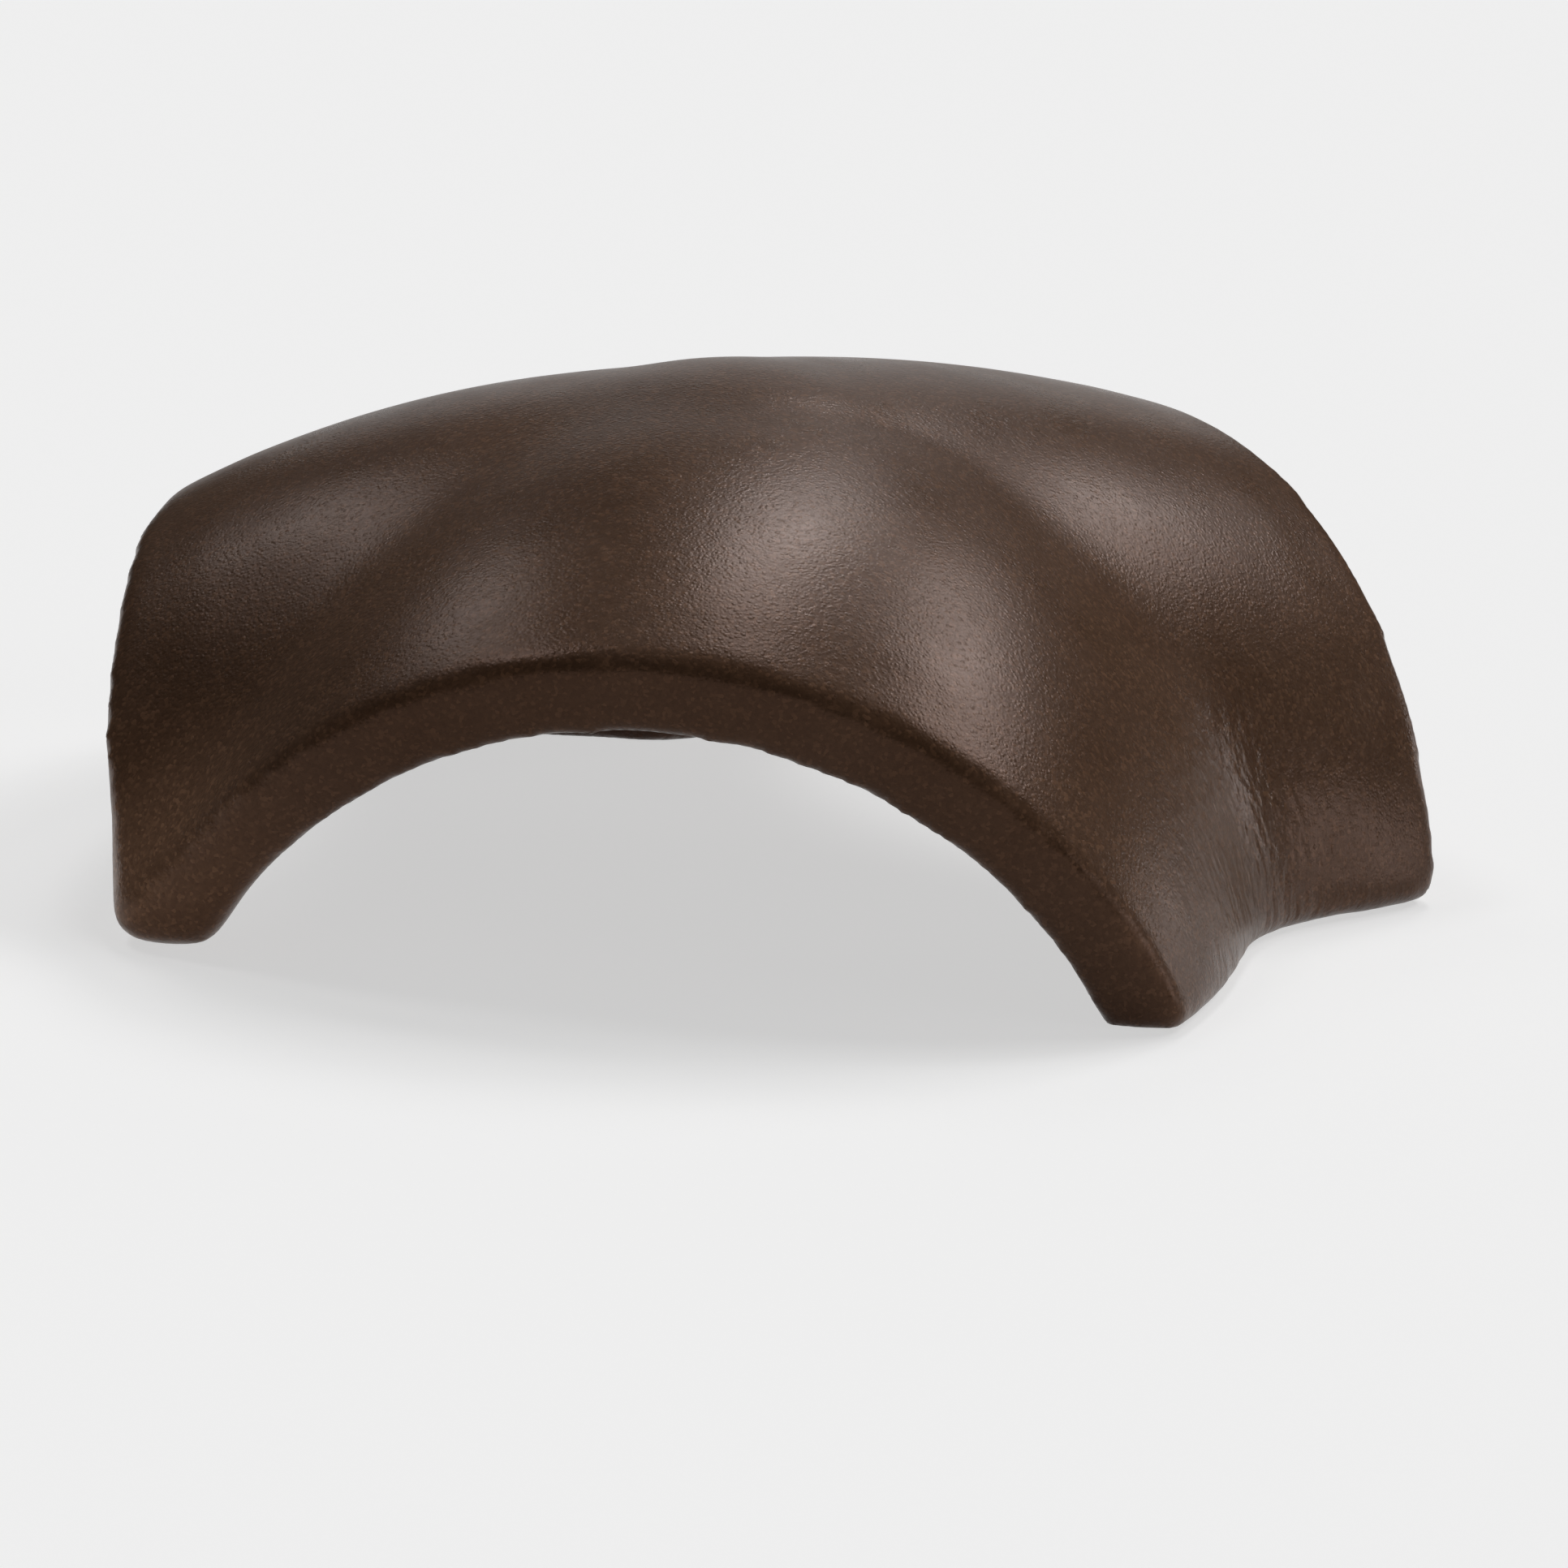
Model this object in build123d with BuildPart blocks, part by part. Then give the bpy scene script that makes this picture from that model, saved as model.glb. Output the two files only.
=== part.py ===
from build123d import *
from math import atan2, cos, degrees, radians, sin
from typing import NamedTuple
import os

# Driving dimensions, in millimetres and degrees.
# The tile stands on z = 0 with its dome over the origin and its ridge arm along +Y.

hip_bearing = 135       # plan angle from the ridge arm to each hip arm
hip_drop = 2            # how far a hip arm's crown lies under the ridge arm's at the origin
hip_radius = 133        # outside of its round arch
hip_bend = 280          # radius of its crown line, seen from the side
hip_reach = 124         # from the origin to the foot of its mouth
hip_lean = 14           # how far its mouth leans out from upright
hip_bore = 111.5        # radius of its straight hollow
hip_headroom = 63       # top of the hollow over the foot, up the face of the mouth
hip_fall = 16           # slope of the hollow, down towards the mouth

ridge_crown = 121       # top of the ridge arm's arch over the origin
ridge_radius = 120      # the other seven sizes of the ridge arm are as for a hip arm
ridge_bend = 470
ridge_reach = 125
ridge_lean = 4
ridge_bore = 101
ridge_headroom = 84
ridge_fall = 8.5

dome_radius = 110       # outside of the dome over the junction
dome_rise = 1           # how far the dome stands above the ridge arm
dome_wall = 20          # thickness at the very top
chamber_radius = 105    # round hollow under the dome

valley_rounding = 60    # in the valleys between the arms
corner_rounding = 8     # of the upright corner between the hip arms' mouths
foot_chamfer = 4        # on the outer edge along the foot

# Each arm runs on below the foot and past its mouth before it is trimmed.
foot_spare = 14
mouth_spare = 60


class Arm(NamedTuple):
    """Sizes of one arm, as they are named above."""
    crown: float
    radius: float
    bend: float
    reach: float
    lean: float
    bore: float
    headroom: float
    fall: float


ridge_arm = Arm(
    ridge_crown, ridge_radius, ridge_bend, ridge_reach,
    ridge_lean, ridge_bore, ridge_headroom, ridge_fall,
)
hip_arm = Arm(
    ridge_crown - hip_drop, hip_radius, hip_bend, hip_reach,
    hip_lean, hip_bore, hip_headroom, hip_fall,
)
arms = {0: ridge_arm, hip_bearing: hip_arm, -hip_bearing: hip_arm}


def heading(bearing):
    """Level unit vector at a plan angle from +Y, turning towards +X."""
    return Vector(sin(radians(bearing)), cos(radians(bearing)), 0)


def across(bearing):
    """Level unit vector square to an arm."""
    return Vector(0, 0, 1).cross(heading(bearing))


def mouth_plane(bearing, reach, slope):
    """Plane at the foot of a mouth, facing out of the arm and down at a slope."""
    outwards = heading(bearing) * cos(radians(slope)) - Vector(0, 0, 1) * sin(radians(slope))
    return Plane(heading(bearing) * reach, x_dir=across(bearing), z_dir=outwards)


with BuildPart() as ridge_tile:
    # Each arm is an arch swung down round a level axis far below the junction.
    for bearing, arm in arms.items():
        upright = Plane((0, 0, arm.crown - arm.radius), x_dir=across(bearing), z_dir=heading(bearing))
        span = 2 * arm.radius
        with BuildSketch(upright):
            Circle(arm.radius)
            with Locations((0, arm.radius - arm.crown - foot_spare)):
                Rectangle(span, span, align=(Align.CENTER, Align.MIN), mode=Mode.INTERSECT)
        swing = degrees(atan2(arm.reach + mouth_spare, arm.bend - arm.crown))
        revolve(axis=Axis((0, 0, arm.crown - arm.bend), across(bearing)), revolution_arc=swing)

    # The dome covers the place where the three crowns meet.
    dome_top = ridge_crown + dome_rise
    with Locations((0, 0, dome_top - dome_radius)):
        Sphere(dome_radius, rotation=(90, 0, 0))
    split(bisect_by=Plane.XY.offset(-foot_spare), keep=Keep.TOP)
    fillet(ridge_tile.edges().filter_by(Edge.is_interior), valley_rounding)

    # Trimming makes the foot and the three mouths.
    split(bisect_by=Plane.XY, keep=Keep.TOP)
    for bearing, arm in arms.items():
        split(bisect_by=mouth_plane(bearing, arm.reach, arm.lean), keep=Keep.BOTTOM)
    outer_foot = ridge_tile.edges().group_by(Axis.Z)[0].filter_by(GeomType.LINE, reverse=True)
    chamfer(outer_foot, foot_chamfer)
    mouth_corner = ridge_tile.edges().filter_by(GeomType.LINE).sort_by(Axis.Y)[0]
    fillet(mouth_corner, corner_rounding)

    # The hollows run straight in from the mouths to a round chamber under the dome.
    for bearing, arm in arms.items():
        with BuildSketch(mouth_plane(bearing, arm.reach, arm.fall)):
            with Locations((0, arm.headroom - arm.bore)):
                Circle(arm.bore)
        extrude(amount=-arm.reach, mode=Mode.SUBTRACT)
    with Locations((0, 0, dome_top - dome_wall - chamber_radius)):
        Sphere(chamber_radius, rotation=(90, 0, 0), mode=Mode.SUBTRACT)

ridge_tile.part.label = "ridge_tile"

os.makedirs("parts", exist_ok=True)
export_step(ridge_tile.part, "parts/ridge_tile.step")
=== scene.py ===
"""Looks of a cast concrete three-way ridge tile, over its CAD frame. Lengths are in metres."""
import math

import bmesh
import bpy
import numpy as np
from mathutils import Matrix, Vector, noise
from mathutils.bvhtree import BVHTree
from mathutils.kdtree import KDTree


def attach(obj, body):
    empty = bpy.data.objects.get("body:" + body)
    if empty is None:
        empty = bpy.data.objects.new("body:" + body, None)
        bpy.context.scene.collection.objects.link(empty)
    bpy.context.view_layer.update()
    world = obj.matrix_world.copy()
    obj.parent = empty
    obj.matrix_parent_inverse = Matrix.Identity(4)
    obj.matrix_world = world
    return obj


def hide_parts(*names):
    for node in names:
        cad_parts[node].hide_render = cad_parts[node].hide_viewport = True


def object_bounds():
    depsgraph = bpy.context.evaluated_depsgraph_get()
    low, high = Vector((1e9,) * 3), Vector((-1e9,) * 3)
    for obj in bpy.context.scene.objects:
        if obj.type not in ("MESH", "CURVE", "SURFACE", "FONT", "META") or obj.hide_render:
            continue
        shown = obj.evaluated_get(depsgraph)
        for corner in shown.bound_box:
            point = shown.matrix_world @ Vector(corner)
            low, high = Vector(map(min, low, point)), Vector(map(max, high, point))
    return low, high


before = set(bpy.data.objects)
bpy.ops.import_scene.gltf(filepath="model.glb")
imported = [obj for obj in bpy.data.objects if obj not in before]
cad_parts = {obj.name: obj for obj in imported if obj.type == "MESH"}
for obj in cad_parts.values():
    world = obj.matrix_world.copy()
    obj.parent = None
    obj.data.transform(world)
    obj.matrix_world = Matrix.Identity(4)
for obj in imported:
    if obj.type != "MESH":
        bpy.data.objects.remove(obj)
cad_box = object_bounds()
scene = bpy.context.scene
scene.view_settings.view_transform = "Standard"

# Camera, worked out from the photograph, which is 1932 pixels square.
PHOTO_SIDE = 1932
PRINCIPAL_POINT = (912.5, 878.5)     # pixel where the line of sight meets the photograph
FOCAL_PIXELS = 6657.2
CAMERA_BEARING = 37.14               # degrees from +X towards -Y, where the camera stands
CAMERA_ELEVATION = 13.2
CAMERA_ROLL = -2.37
CAMERA_DISTANCE = 1.3105
AIM_SIDEWAYS = 0.0005
AIM_HEIGHT = 0.0359

# Floor and world
FLOOR_HALF = 12
FLOOR_SEEN = 0.50                    # the floor's colour, and its glow below, where it or its mirror image is seen
FLOOR_GLOW = 0.58
FLOOR_BOUNCE = 0.62                  # its colour where it lights the tile
WORLD_STRENGTH = 0.03

# Visual mesh
VOXEL = 0.0019                       # size of the mesh's cells
JOINED = 1e-6                        # points closer together than this are one
SHARP = math.radians(35)             # least angle between the faces at a sharp edge
ARRIS_STEP = 0.0003                  # spacing of the places kept along a sharp edge
SNAP = 0.6 * VOXEL                   # points this close to a sharp edge are moved onto it
STEP_ROUNDS = 3                      # rounds of smoothing that take the cells' steps off
SKIN_ROUNDS = 2                      # rounds that settle the points on the CAD surface
EVEN_ROUNDS = 70                     # rounds that even out the surface away from the edges
EVEN_FROM = 0.014                    # how far from an edge the evening out starts
EVEN_WIDTH = 0.020                   # over what width it comes to its full amount
LAST_ROUNDS = 5                      # rounds that take out what single cells still show
LAST_ON_EDGE = 0.4                   # what share of those the edges take

# Wear of the sharp edges
ARRIS_ROUNDS = 4                     # rounds that wear an edge fully round
ARRIS_WIDTH = 0.0025                 # how far the wear of an edge reaches on each side
WEAR_PATCH = 0.014                   # size of the more and less worn stretches of an edge
WEAR_USUAL = 0.5                     # share of the full wear
WEAR_SPREAD = 0.8
WEAR_LEAST = 0.15
WEAR_SHIFT = 3                       # place in the noise that the stretches are taken from
GRIT = 0.0002                        # how deep grains have come out along a worn edge
GRIT_SIZE = 0.0042
GRIT_SHIFT = 11

# The foot where the two hip mouths meet has lost most grains, and its colour is painted paler there, partly for
# bared concrete and partly as painted light that this foot catches.
CRUMBLED_FOOT = (0, -0.172, 0.004)
CRUMBLE_REACH = 0.030
CRUMBLE = 0.0018                     # how deep grains have come out there
BLUNT_ROUNDS = 22                    # rounds that blunt it
BLUNT_MOST = 0.85                    # largest share of those that it takes
BLUNT_TOP = 0.05                     # height that the blunting stays below

# Painted shade: the left hip arm's crown gets less specular, which dims the lamps' highlight on it.
DIMMED_CROWN = (-0.110, -0.050, 0.081)
DIMMED_CROWN_REACH = 0.026

# The mould left fine upright folds low in the valleys beside the ridge arm.
VALLEY_BEARING = 67.5                # plan angle from the ridge arm to the valley
FOLDS_SPREAD = 14                    # degrees
FOLDS_HEIGHT = 0.045
FOLD_SIZE = 0.0030
FOLD_STRETCH = (1, 1, 0.35)          # a smaller scale makes them longer
FOLD_DEPTH = 0.0006

# Concrete, with colours as linear values
CONCRETE = (0.114, 0.060, 0.034)
CONCRETE_DARK = (0.098, 0.050, 0.027)
CONCRETE_WARM = (0.130, 0.070, 0.041)
CLOUD_SIZE = 0.05                    # size of the darker and warmer patches
SAND_SIZE = 0.00085
SAND_HEIGHT = 0.00007
SAND_SHARE = 0.8                     # how much the sand's own colours show
SPECULAR = 0.26
# specular on the left hip arm's crown, lowered as painted shade that dims its highlight
SPECULAR_DIMMED = 0.08
SPECULAR_TINT = (1, 0.58, 0.44, 1)
GLOSS_PATCH = 0.02                   # size of the more and less glossy patches
WAVE_SIZE = 0.022
WAVE_HEIGHT = 0.00012
FINE_SIZE = 0.0012
FINE_HEIGHT = 0.00006


def make_camera():
    data = bpy.data.cameras.new("camera")
    data.sensor_width = 36
    data.lens = FOCAL_PIXELS / PHOTO_SIDE * data.sensor_width
    data.shift_x = (PHOTO_SIDE / 2 - PRINCIPAL_POINT[0]) / PHOTO_SIDE
    data.shift_y = (PRINCIPAL_POINT[1] - PHOTO_SIDE / 2) / PHOTO_SIDE
    camera = bpy.data.objects.new("camera", data)
    scene.collection.objects.link(camera)

    bearing = math.radians(CAMERA_BEARING)
    elevation = math.radians(CAMERA_ELEVATION)
    towards = Vector((math.cos(bearing), -math.sin(bearing), 0))
    right = Vector((math.sin(bearing), math.cos(bearing), 0))
    forward = -towards * math.cos(elevation) - Vector((0, 0, math.sin(elevation)))
    aim = right * AIM_SIDEWAYS + Vector((0, 0, AIM_HEIGHT))
    turned = Matrix.Rotation(math.radians(CAMERA_ROLL), 3, forward)
    axes = Matrix((turned @ right, turned @ right.cross(forward), -forward)).transposed()
    camera.matrix_world = Matrix.Translation(aim - forward * CAMERA_DISTANCE) @ axes.to_4x4()
    scene.camera = camera
    return right, towards


view_right, view_towards = make_camera()


def studio_direction(azimuth, elevation):
    """Unit vector to a lamp: azimuth 0 is on the camera's side, 90 on its right, 180 behind the tile."""
    a, e = math.radians(azimuth), math.radians(elevation)
    level = view_right * math.sin(a) + view_towards * math.cos(a)
    return level * math.cos(e) + Vector((0, 0, math.sin(e)))


def soft_lamp(name, azimuth, elevation, width, strength):
    """A round soft lamp far away, so that the whole floor is lit alike."""
    data = bpy.data.lights.new(name, "SUN")
    data.energy = strength
    data.angle = math.radians(width)
    lamp = bpy.data.objects.new(name, data)
    scene.collection.objects.link(lamp)
    lamp.rotation_mode = "QUATERNION"
    lamp.rotation_quaternion = studio_direction(azimuth, elevation).to_track_quat("Z", "Y")


def make_lamps():
    """A long soft box behind the tile, one high on the left, and low ones behind and on the right."""
    soft_lamp("back_box_right", 108, 48, 14, 0.28)
    soft_lamp("back_box_low", 123, 45, 14, 0.30)
    soft_lamp("back_box_high", 138, 44, 14, 0.30)
    soft_lamp("back_box_middle", 164, 46, 12, 0.20)
    soft_lamp("back_box_left", 170, 54, 12, 0.26)
    soft_lamp("back_box_top", 166, 66, 12, 0.26)
    soft_lamp("left_box", -116, 60, 14, 0.28)
    soft_lamp("left_box_low", -141, 44, 14, 0.14)
    soft_lamp("back_low", 180, 14, 30, 0.10)
    soft_lamp("right_low", 84, 6, 18, 0.30)
    soft_lamp("right_front_low", 62, 12, 26, 0.16)
    soft_lamp("right_back_low", 124, 8, 10, 0.10)


def make_world():
    """Nearly dark, so that the lamps shape the tile: the pale background is the floor."""
    world = bpy.data.worlds.new("studio")
    scene.world = world
    world.use_nodes = True
    background = world.node_tree.nodes["Background"]
    background.inputs["Color"].default_value = (1, 1, 1, 1)
    background.inputs["Strength"].default_value = WORLD_STRENGTH


def make_floor():
    """A pale floor that keeps the tile's shadow."""
    mesh = bpy.data.meshes.new("floor")
    half = FLOOR_HALF
    corners = [(-half, -half, 0), (half, -half, 0), (half, half, 0), (-half, half, 0)]
    mesh.from_pydata(corners, [], [(0, 1, 2, 3)])
    floor = bpy.data.objects.new("floor", mesh)
    scene.collection.objects.link(floor)
    material = bpy.data.materials.new("floor")
    material.use_nodes = True
    nodes = Nodes(material)
    shader = material.node_tree.nodes["Principled BSDF"]
    path = nodes.add("ShaderNodeLightPath").outputs
    seen = nodes.larger(path["Is Camera Ray"], path["Is Glossy Ray"])
    seen = nodes.larger(seen, path["Is Transmission Ray"])
    nodes.link(nodes.ramp(seen, (0, FLOOR_BOUNCE), (1, FLOOR_SEEN)), shader.inputs["Base Color"])
    shader.inputs["Emission Color"].default_value = (1, 1, 1, 1)
    nodes.link(nodes.ramp(seen, (0, 0.0), (1, FLOOR_GLOW)), shader.inputs["Emission Strength"])
    shader.inputs["Roughness"].default_value = 0.9
    shader.inputs["Specular IOR Level"].default_value = 0
    mesh.materials.append(material)


def with_joined_faces(node):
    """The CAD node's mesh to edit, with the points that its faces share made one."""
    joined = bmesh.new()
    joined.from_mesh(node.data)
    bmesh.ops.remove_doubles(joined, verts=joined.verts, dist=JOINED)
    return joined


def closed_copy(node):
    """The CAD node's mesh, remade in even cells."""
    joined = with_joined_faces(node)
    mesh = bpy.data.meshes.new("cast_tile")
    joined.to_mesh(mesh)
    joined.free()
    tile = bpy.data.objects.new("cast_tile", mesh)
    scene.collection.objects.link(tile)
    remesh = tile.modifiers.new("cells", "REMESH")
    remesh.mode = "VOXEL"
    remesh.voxel_size = VOXEL
    even = bpy.data.meshes.new_from_object(tile.evaluated_get(bpy.context.evaluated_depsgraph_get()))
    tile.modifiers.clear()
    tile.data = even
    return tile


def points_of(mesh):
    points = np.empty(len(mesh.vertices) * 3)
    mesh.vertices.foreach_get("co", points)
    return points.reshape(-1, 3)


def edges_of(mesh):
    edges = np.empty(len(mesh.edges) * 2, int)
    mesh.edges.foreach_get("vertices", edges)
    return edges.reshape(-1, 2)


def smoothed(points, edges, rounds):
    """Points after each has gone a number of times to the mean of its neighbours."""
    count = np.bincount(edges.ravel(), minlength=len(points))[:, None]
    for _ in range(rounds):
        total = np.zeros_like(points)
        for axis in range(3):
            total[:, axis] = np.bincount(edges[:, 0], points[edges[:, 1], axis], len(points))
            total[:, axis] += np.bincount(edges[:, 1], points[edges[:, 0], axis], len(points))
        points = total / count
    return points


def noise_at(points, size, shift):
    """Noise of about -1 to 1 at each point, in patches of a size."""
    offset = Vector((shift, shift, shift))
    return np.array([noise.noise(Vector(p) / size + offset) for p in points])


def nearness(points, place, reach):
    """1 at a place, falling off smoothly round it."""
    return np.exp(-0.5 * (np.linalg.norm(points - place, axis=1) / reach) ** 2)


def arris_line(node):
    """A search tree of places all along the CAD node's sharp edges."""
    joined = with_joined_faces(node)
    places = []
    for edge in joined.edges:
        if len(edge.link_faces) == 2 and edge.calc_face_angle() > SHARP:
            start, end = (v.co.copy() for v in edge.verts)
            steps = max(1, round((end - start).length / ARRIS_STEP))
            places += [start.lerp(end, i / steps) for i in range(steps + 1)]
    joined.free()
    tree = KDTree(len(places))
    for i, place in enumerate(places):
        tree.insert(place, i)
    tree.balance()
    return tree


def on_surface(node, points):
    """The nearest places on the CAD node, or on its sharp edges where those are close, and how far the edges are."""
    corners = [v.co for v in node.data.vertices]
    surface = BVHTree.FromPolygons(corners, [p.vertices for p in node.data.polygons])
    arris = arris_line(node)
    found = []
    distances = []
    for point in points:
        place, _, distance = arris.find(point)
        found.append(place if distance < SNAP else surface.find_nearest(Vector(point))[0])
        distances.append(distance)
    return np.array(found), np.array(distances)


def normals_at(mesh, points):
    """The mesh's vertex normals once its points are put at the given places."""
    mesh.vertices.foreach_set("co", points.ravel())
    mesh.update()
    normals = np.empty(len(points) * 3)
    mesh.vertex_normals.foreach_get("vector", normals)
    return normals.reshape(-1, 3)


def along(shifts, normals):
    """The part of each shift that goes straight in or out, so that the cells don't slide over each other."""
    return normals * np.sum(shifts * normals, axis=1)[:, None]


def wear(tile, node):
    """Evens out the surface, rounds the edges, some stretches more than others, and leaves them gritty."""
    mesh = tile.data
    points = points_of(mesh)
    edges = edges_of(mesh)
    skin, from_arris = on_surface(node, smoothed(points, edges, STEP_ROUNDS))
    skin = smoothed(skin, edges, SKIN_ROUNDS)
    worn = smoothed(skin, edges, ARRIS_ROUNDS)
    crumbled_and_lit = nearness(points, CRUMBLED_FOOT, CRUMBLE_REACH)

    on_edge = np.clip(1.4 - from_arris / ARRIS_WIDTH, 0, 1)
    near = np.flatnonzero(on_edge > 0)
    stretches = noise_at(points[near], WEAR_PATCH, WEAR_SHIFT)
    share = np.full(len(points), WEAR_USUAL)
    share[near] = np.clip(WEAR_USUAL + WEAR_SPREAD * stretches, WEAR_LEAST, 1)
    share = np.maximum(share, crumbled_and_lit)
    placed = skin + (worn - skin) * share[:, None]

    depth = np.linalg.norm(worn - skin, axis=1)
    inwards = (worn - skin) / np.maximum(depth, 1e-9)[:, None]
    lost = np.zeros(len(points))
    lost[near] = np.clip(0.5 + noise_at(points[near], GRIT_SIZE, GRIT_SHIFT), 0, 1) * on_edge[near]
    placed += inwards * (lost * (GRIT + CRUMBLE * crumbled_and_lit))[:, None]

    once = smoothed(worn, edges, EVEN_ROUNDS)
    even = 2 * once - smoothed(once, edges, EVEN_ROUNDS)
    off_edge = np.clip((from_arris - EVEN_FROM) / EVEN_WIDTH, 0, 1)
    off_edge = off_edge * off_edge * (3 - 2 * off_edge)
    placed += along(even - placed, normals_at(mesh, skin)) * off_edge[:, None]
    last_share = np.maximum(off_edge, LAST_ON_EDGE)
    placed += (smoothed(placed, edges, LAST_ROUNDS) - placed) * last_share[:, None]

    blunt = np.clip(2.4 * crumbled_and_lit - 0.6, 0, BLUNT_MOST) * (points[:, 2] < BLUNT_TOP)
    placed += (smoothed(worn, edges, BLUNT_ROUNDS) - placed) * blunt[:, None]
    low, high = (np.array(corner) for corner in cad_box)
    placed = np.clip(placed, low, high)
    mesh.vertices.foreach_set("co", placed.ravel())
    mesh.shade_smooth()
    mesh.update()
    store(mesh, "worn", on_edge * share)
    # the crumbled foot, which the colour also paints paler, partly as painted light
    store(mesh, "crumbled_and_lit", crumbled_and_lit)
    # where the left crown's highlight is dimmed, as painted shade
    store(mesh, "dimmed_highlight", nearness(points, DIMMED_CROWN, DIMMED_CROWN_REACH))


def store(mesh, name, values):
    """Keeps a number at each point for the material to read."""
    layer = mesh.attributes.new(name, "FLOAT", "POINT")
    layer.data.foreach_set("value", values.astype(np.float32))


def mark_valleys(mesh):
    """Marks where the folds in the two valleys beside the ridge arm are."""
    x, y, z = points_of(mesh).T
    away = np.abs(np.degrees(np.arctan2(np.abs(x), y)) - VALLEY_BEARING)
    fold = np.clip(1.6 - away / FOLDS_SPREAD, 0, 1) * np.clip(1.7 - z / FOLDS_HEIGHT, 0, 1)
    store(mesh, "folded", fold)


class Nodes:
    """A material's nodes, with short calls for those that are used most."""

    def __init__(self, material):
        self.tree = material.node_tree
        self.where = self.add("ShaderNodeTexCoord").outputs["Object"]

    def add(self, kind, **settings):
        node = self.tree.nodes.new(kind)
        for name, value in settings.items():
            setattr(node, name, value)
        return node

    def link(self, source, target):
        self.tree.links.new(source, target)

    def noise(self, size, detail=2, roughness=0.5, stretch=(1, 1, 1)):
        """Noise with patches of about a size in metres."""
        place = self.add("ShaderNodeMapping")
        place.inputs["Scale"].default_value = stretch
        self.link(self.where, place.inputs["Vector"])
        texture = self.add("ShaderNodeTexNoise")
        texture.inputs["Scale"].default_value = 1 / size
        texture.inputs["Detail"].default_value = detail
        texture.inputs["Roughness"].default_value = roughness
        self.link(place.outputs["Vector"], texture.inputs["Vector"])
        return texture.outputs["Fac"]

    def grains(self, size):
        """Sand grains of a size in metres: a random value for each, and how far each stands out."""
        cells = self.add("ShaderNodeTexVoronoi")
        cells.inputs["Scale"].default_value = 1 / size
        self.link(self.where, cells.inputs["Vector"])
        parts = self.add("ShaderNodeSeparateColor")
        self.link(cells.outputs["Color"], parts.inputs["Color"])
        height = self.ramp(cells.outputs["Distance"], (0.0, 1.0), (0.75, 0.0))
        return parts.outputs["Red"], self.scaled(height, parts.outputs["Green"])

    def ramp(self, value, *stops):
        """Colours or greys at places from 0 to 1 along a value."""
        ramp = self.add("ShaderNodeValToRGB")
        elements = ramp.color_ramp.elements
        while len(elements) < len(stops):
            elements.new(0.5)
        for element, (place, colour) in zip(elements, stops):
            element.position = place
            element.color = (*colour, 1) if isinstance(colour, tuple) else (colour, colour, colour, 1)
        self.link(value, ramp.inputs["Fac"])
        return ramp.outputs["Color"]

    def attribute(self, name):
        """A number that was stored at each point of the mesh."""
        return self.add("ShaderNodeAttribute", attribute_name=name).outputs["Fac"]

    def math(self, operation, first, second):
        result = self.add("ShaderNodeMath", operation=operation)
        self.link(first, result.inputs[0])
        self.link(second, result.inputs[1])
        return result.outputs[0]

    def larger(self, first, second):
        return self.math("MAXIMUM", first, second)

    def scaled(self, value, factor):
        return self.math("MULTIPLY", value, factor)

    def multiply(self, share, first, second):
        """The first colour darkened or lightened by a share of the second."""
        mix = self.add("ShaderNodeMix", data_type="RGBA", blend_type="MULTIPLY")
        mix.inputs["Factor"].default_value = share
        self.link(first, mix.inputs["A"])
        self.link(second, mix.inputs["B"])
        return mix.outputs["Result"]

    def bump(self, height, distance, normal=None):
        bump = self.add("ShaderNodeBump")
        bump.inputs["Strength"].default_value = 1
        bump.inputs["Distance"].default_value = distance
        self.link(height, bump.inputs["Height"])
        if normal is not None:
            self.link(normal, bump.inputs["Normal"])
        return bump.outputs["Normal"]


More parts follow.
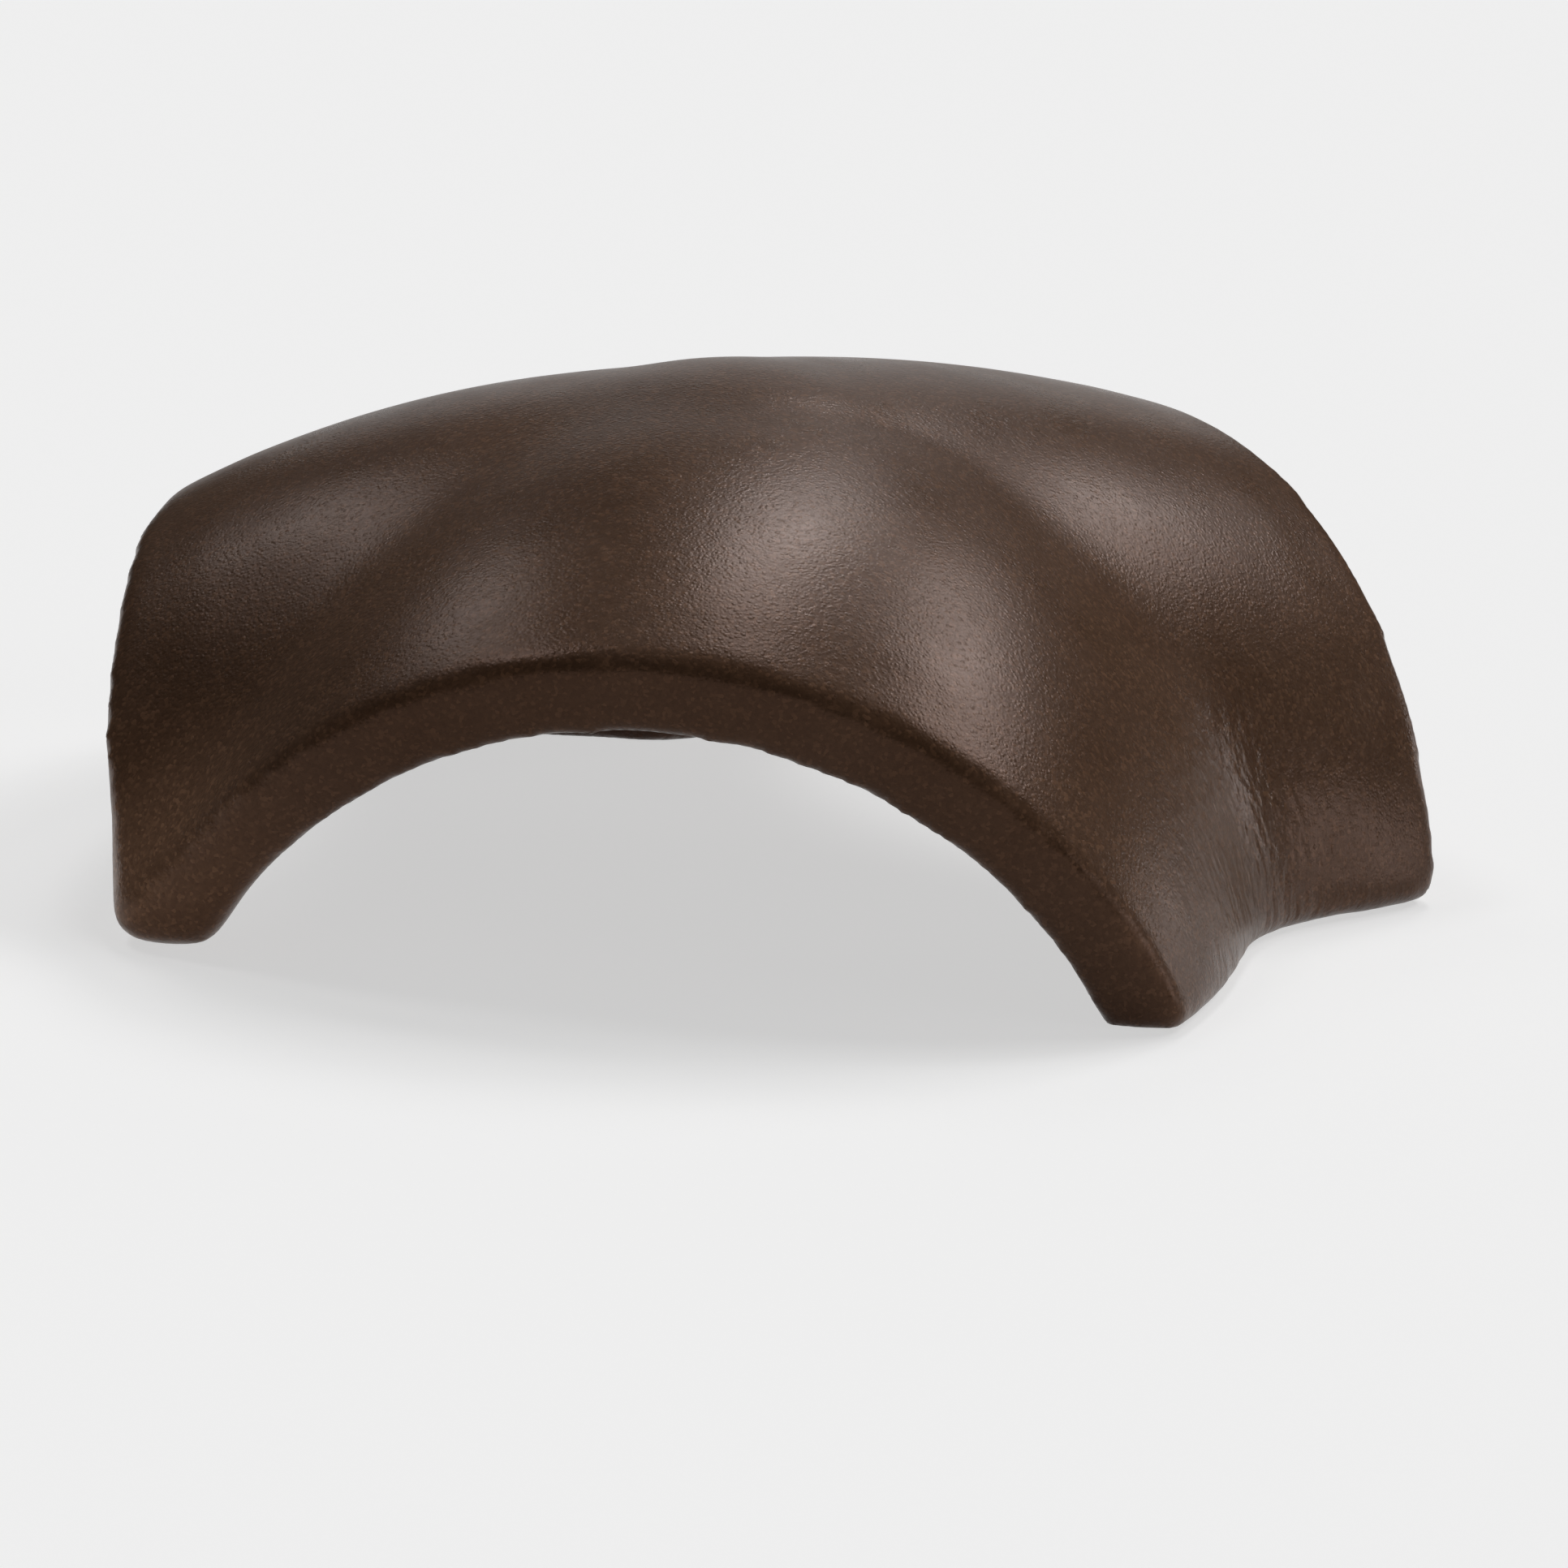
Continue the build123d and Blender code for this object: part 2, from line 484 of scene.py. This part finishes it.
def concrete_colour(nodes, grain_shade):
    """Cloudy brown with single sand grains, paler where an edge is worn, and paler still round the crumbled foot,
    partly for its bared concrete and partly as painted light that the foot catches.
    """
    patches = nodes.noise(CLOUD_SIZE, 3)
    clouds = nodes.ramp(patches, (0.36, CONCRETE_DARK), (0.5, CONCRETE), (0.66, CONCRETE_WARM))
    sand = nodes.ramp(grain_shade, (0.0, 0.74), (0.75, 1.04), (1.0, 1.65))
    speckled = nodes.multiply(SAND_SHARE, clouds, sand)
    bared = nodes.ramp(nodes.attribute("worn"), (0.2, 1.0), (0.9, 1.3))
    # much paler round the crumbled foot: partly bared concrete, partly painted light
    crumbled_and_lit = nodes.ramp(nodes.attribute("crumbled_and_lit"), (0.1, 1.0), (0.9, 2.3))
    return nodes.multiply(1, nodes.multiply(1, speckled, bared), crumbled_and_lit)


def concrete_relief(nodes, grain_height):
    """Faint waves, the folds in the valleys, a fine roughness and the sand grains."""
    waves = nodes.bump(nodes.noise(WAVE_SIZE, 2), WAVE_HEIGHT)
    folds = nodes.noise(FOLD_SIZE, 1, 0.5, FOLD_STRETCH)
    folded = nodes.bump(nodes.scaled(folds, nodes.attribute("folded")), FOLD_DEPTH, waves)
    fine = nodes.bump(nodes.noise(FINE_SIZE, 2, 0.6), FINE_HEIGHT, folded)
    return nodes.bump(grain_height, SAND_HEIGHT, fine)


def concrete():
    material = bpy.data.materials.new("brown_concrete")
    material.use_nodes = True
    nodes = Nodes(material)
    shader = material.node_tree.nodes["Principled BSDF"]
    grain_shade, grain_height = nodes.grains(SAND_SIZE)
    nodes.link(concrete_colour(nodes, grain_shade), shader.inputs["Base Color"])
    gloss = nodes.ramp(nodes.noise(GLOSS_PATCH, 3), (0.3, 0.26), (0.7, 0.32))
    nodes.link(gloss, shader.inputs["Roughness"])
    # less specular on the left hip arm's crown: painted shade that dims its highlight
    specular = nodes.ramp(nodes.attribute("dimmed_highlight"), (0, SPECULAR), (1, SPECULAR_DIMMED))
    nodes.link(specular, shader.inputs["Specular IOR Level"])
    shader.inputs["Specular Tint"].default_value = SPECULAR_TINT
    nodes.link(concrete_relief(nodes, grain_height), shader.inputs["Normal"])
    return material


make_floor()
make_world()
make_lamps()

cad_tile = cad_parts["ridge_tile"]
cast_tile = closed_copy(cad_tile)
wear(cast_tile, cad_tile)
mark_valleys(cast_tile.data)
cast_tile.data.materials.append(concrete())
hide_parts("ridge_tile")
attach(cast_tile, "root")
